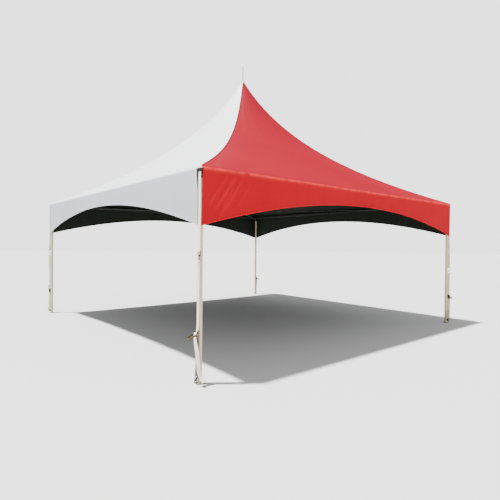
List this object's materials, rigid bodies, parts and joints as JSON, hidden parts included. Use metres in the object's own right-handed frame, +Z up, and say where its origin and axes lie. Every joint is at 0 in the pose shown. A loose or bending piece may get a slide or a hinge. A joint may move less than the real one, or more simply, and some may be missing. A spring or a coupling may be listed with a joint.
{
  "type": "marquee tent",
  "caption": "High-peak marquee tent with alternating red and white canopy panels, arched valances, a tubular frame, a mast on crossed cables and ratchet straps down its legs.",
  "frame": {"origin": "on the ground, straight below the peak", "axes": "+Z up, +X and +Y square to the eaves; the front corner of the picture is at -X -Y"},
  "size_m": [6.3458, 6.2636, 5.36],
  "materials": {
    "white_fabric": "white coated canopy cloth, dark blockout inside",
    "red_fabric": "red coated canopy cloth, dark blockout inside",
    "painted_tube": "cream satin paint",
    "zinc_steel": "dull zinc plate",
    "webbing": "white polyester webbing"
  },
  "bodies": {
    "tent": {"roof_panel_front_left": "white_fabric", "roof_panel_front_right": "red_fabric", "roof_panel_back_right": "white_fabric", "roof_panel_back_left": "red_fabric", "valance_front_left": "white_fabric", "valance_front_right": "red_fabric", "valance_back_right": "white_fabric", "valance_back_left": "red_fabric", "eave_rail_front_left": "painted_tube", "eave_rail_front_right": "painted_tube", "eave_rail_back_right": "painted_tube", "eave_rail_back_left": "painted_tube", "corner_fitting_front": "zinc_steel", "corner_fitting_right": "zinc_steel", "corner_fitting_back": "zinc_steel", "corner_fitting_left": "zinc_steel", "leg_front": "painted_tube", "leg_right": "painted_tube", "leg_back": "painted_tube", "leg_left": "painted_tube", "base_plate_front": "zinc_steel", "base_plate_right": "zinc_steel", "base_plate_back": "zinc_steel", "base_plate_left": "zinc_steel", "cross_cable_front_back": "zinc_steel", "cross_cable_left_right": "zinc_steel", "mast_foot": "zinc_steel", "mast": "painted_tube", "crown_and_finial": "zinc_steel", "corner_strap_front": "webbing", "corner_strap_right": "webbing", "corner_strap_back": "webbing", "corner_strap_left": "webbing", "ratchet_strap_front": "webbing", "ratchet_strap_right": "webbing", "ratchet_strap_back": "webbing", "ratchet_strap_left": "webbing", "ratchet_front": "zinc_steel", "ratchet_right": "zinc_steel", "ratchet_back": "zinc_steel", "ratchet_left": "zinc_steel", "strap_tail_front": "webbing", "strap_tail_right": "webbing", "strap_tail_back": "webbing", "strap_tail_left": "webbing"},
    "handle_front": {"ratchet_handle_front": "zinc_steel"},
    "handle_right": {"ratchet_handle_right": "zinc_steel"},
    "handle_back": {"ratchet_handle_back": "zinc_steel"},
    "handle_left": {"ratchet_handle_left": "zinc_steel"}
  },
  "joints": [
    {"name": "handle_front_turn", "type": "hinge", "parent": "tent", "child": "handle_front", "pos_m": [-3.0652, -3.0172, 0.565], "axis": [0, -1, 0], "range_deg": [-105, 30]},
    {"name": "handle_right_turn", "type": "hinge", "parent": "tent", "child": "handle_right", "pos_m": [3.0652, -3.0332, 0.53], "axis": [0, 1, 0], "range_deg": [-105, 30]},
    {"name": "handle_back_turn", "type": "hinge", "parent": "tent", "child": "handle_back", "pos_m": [3.0652, 3.0272, 0.5], "axis": [0, 1, 0], "range_deg": [-105, 30]},
    {"name": "handle_left_turn", "type": "hinge", "parent": "tent", "child": "handle_left", "pos_m": [-3.0272, 3.0652, 0.5], "axis": [-1, 0, 0], "range_deg": [-3, 132]}
  ]
}
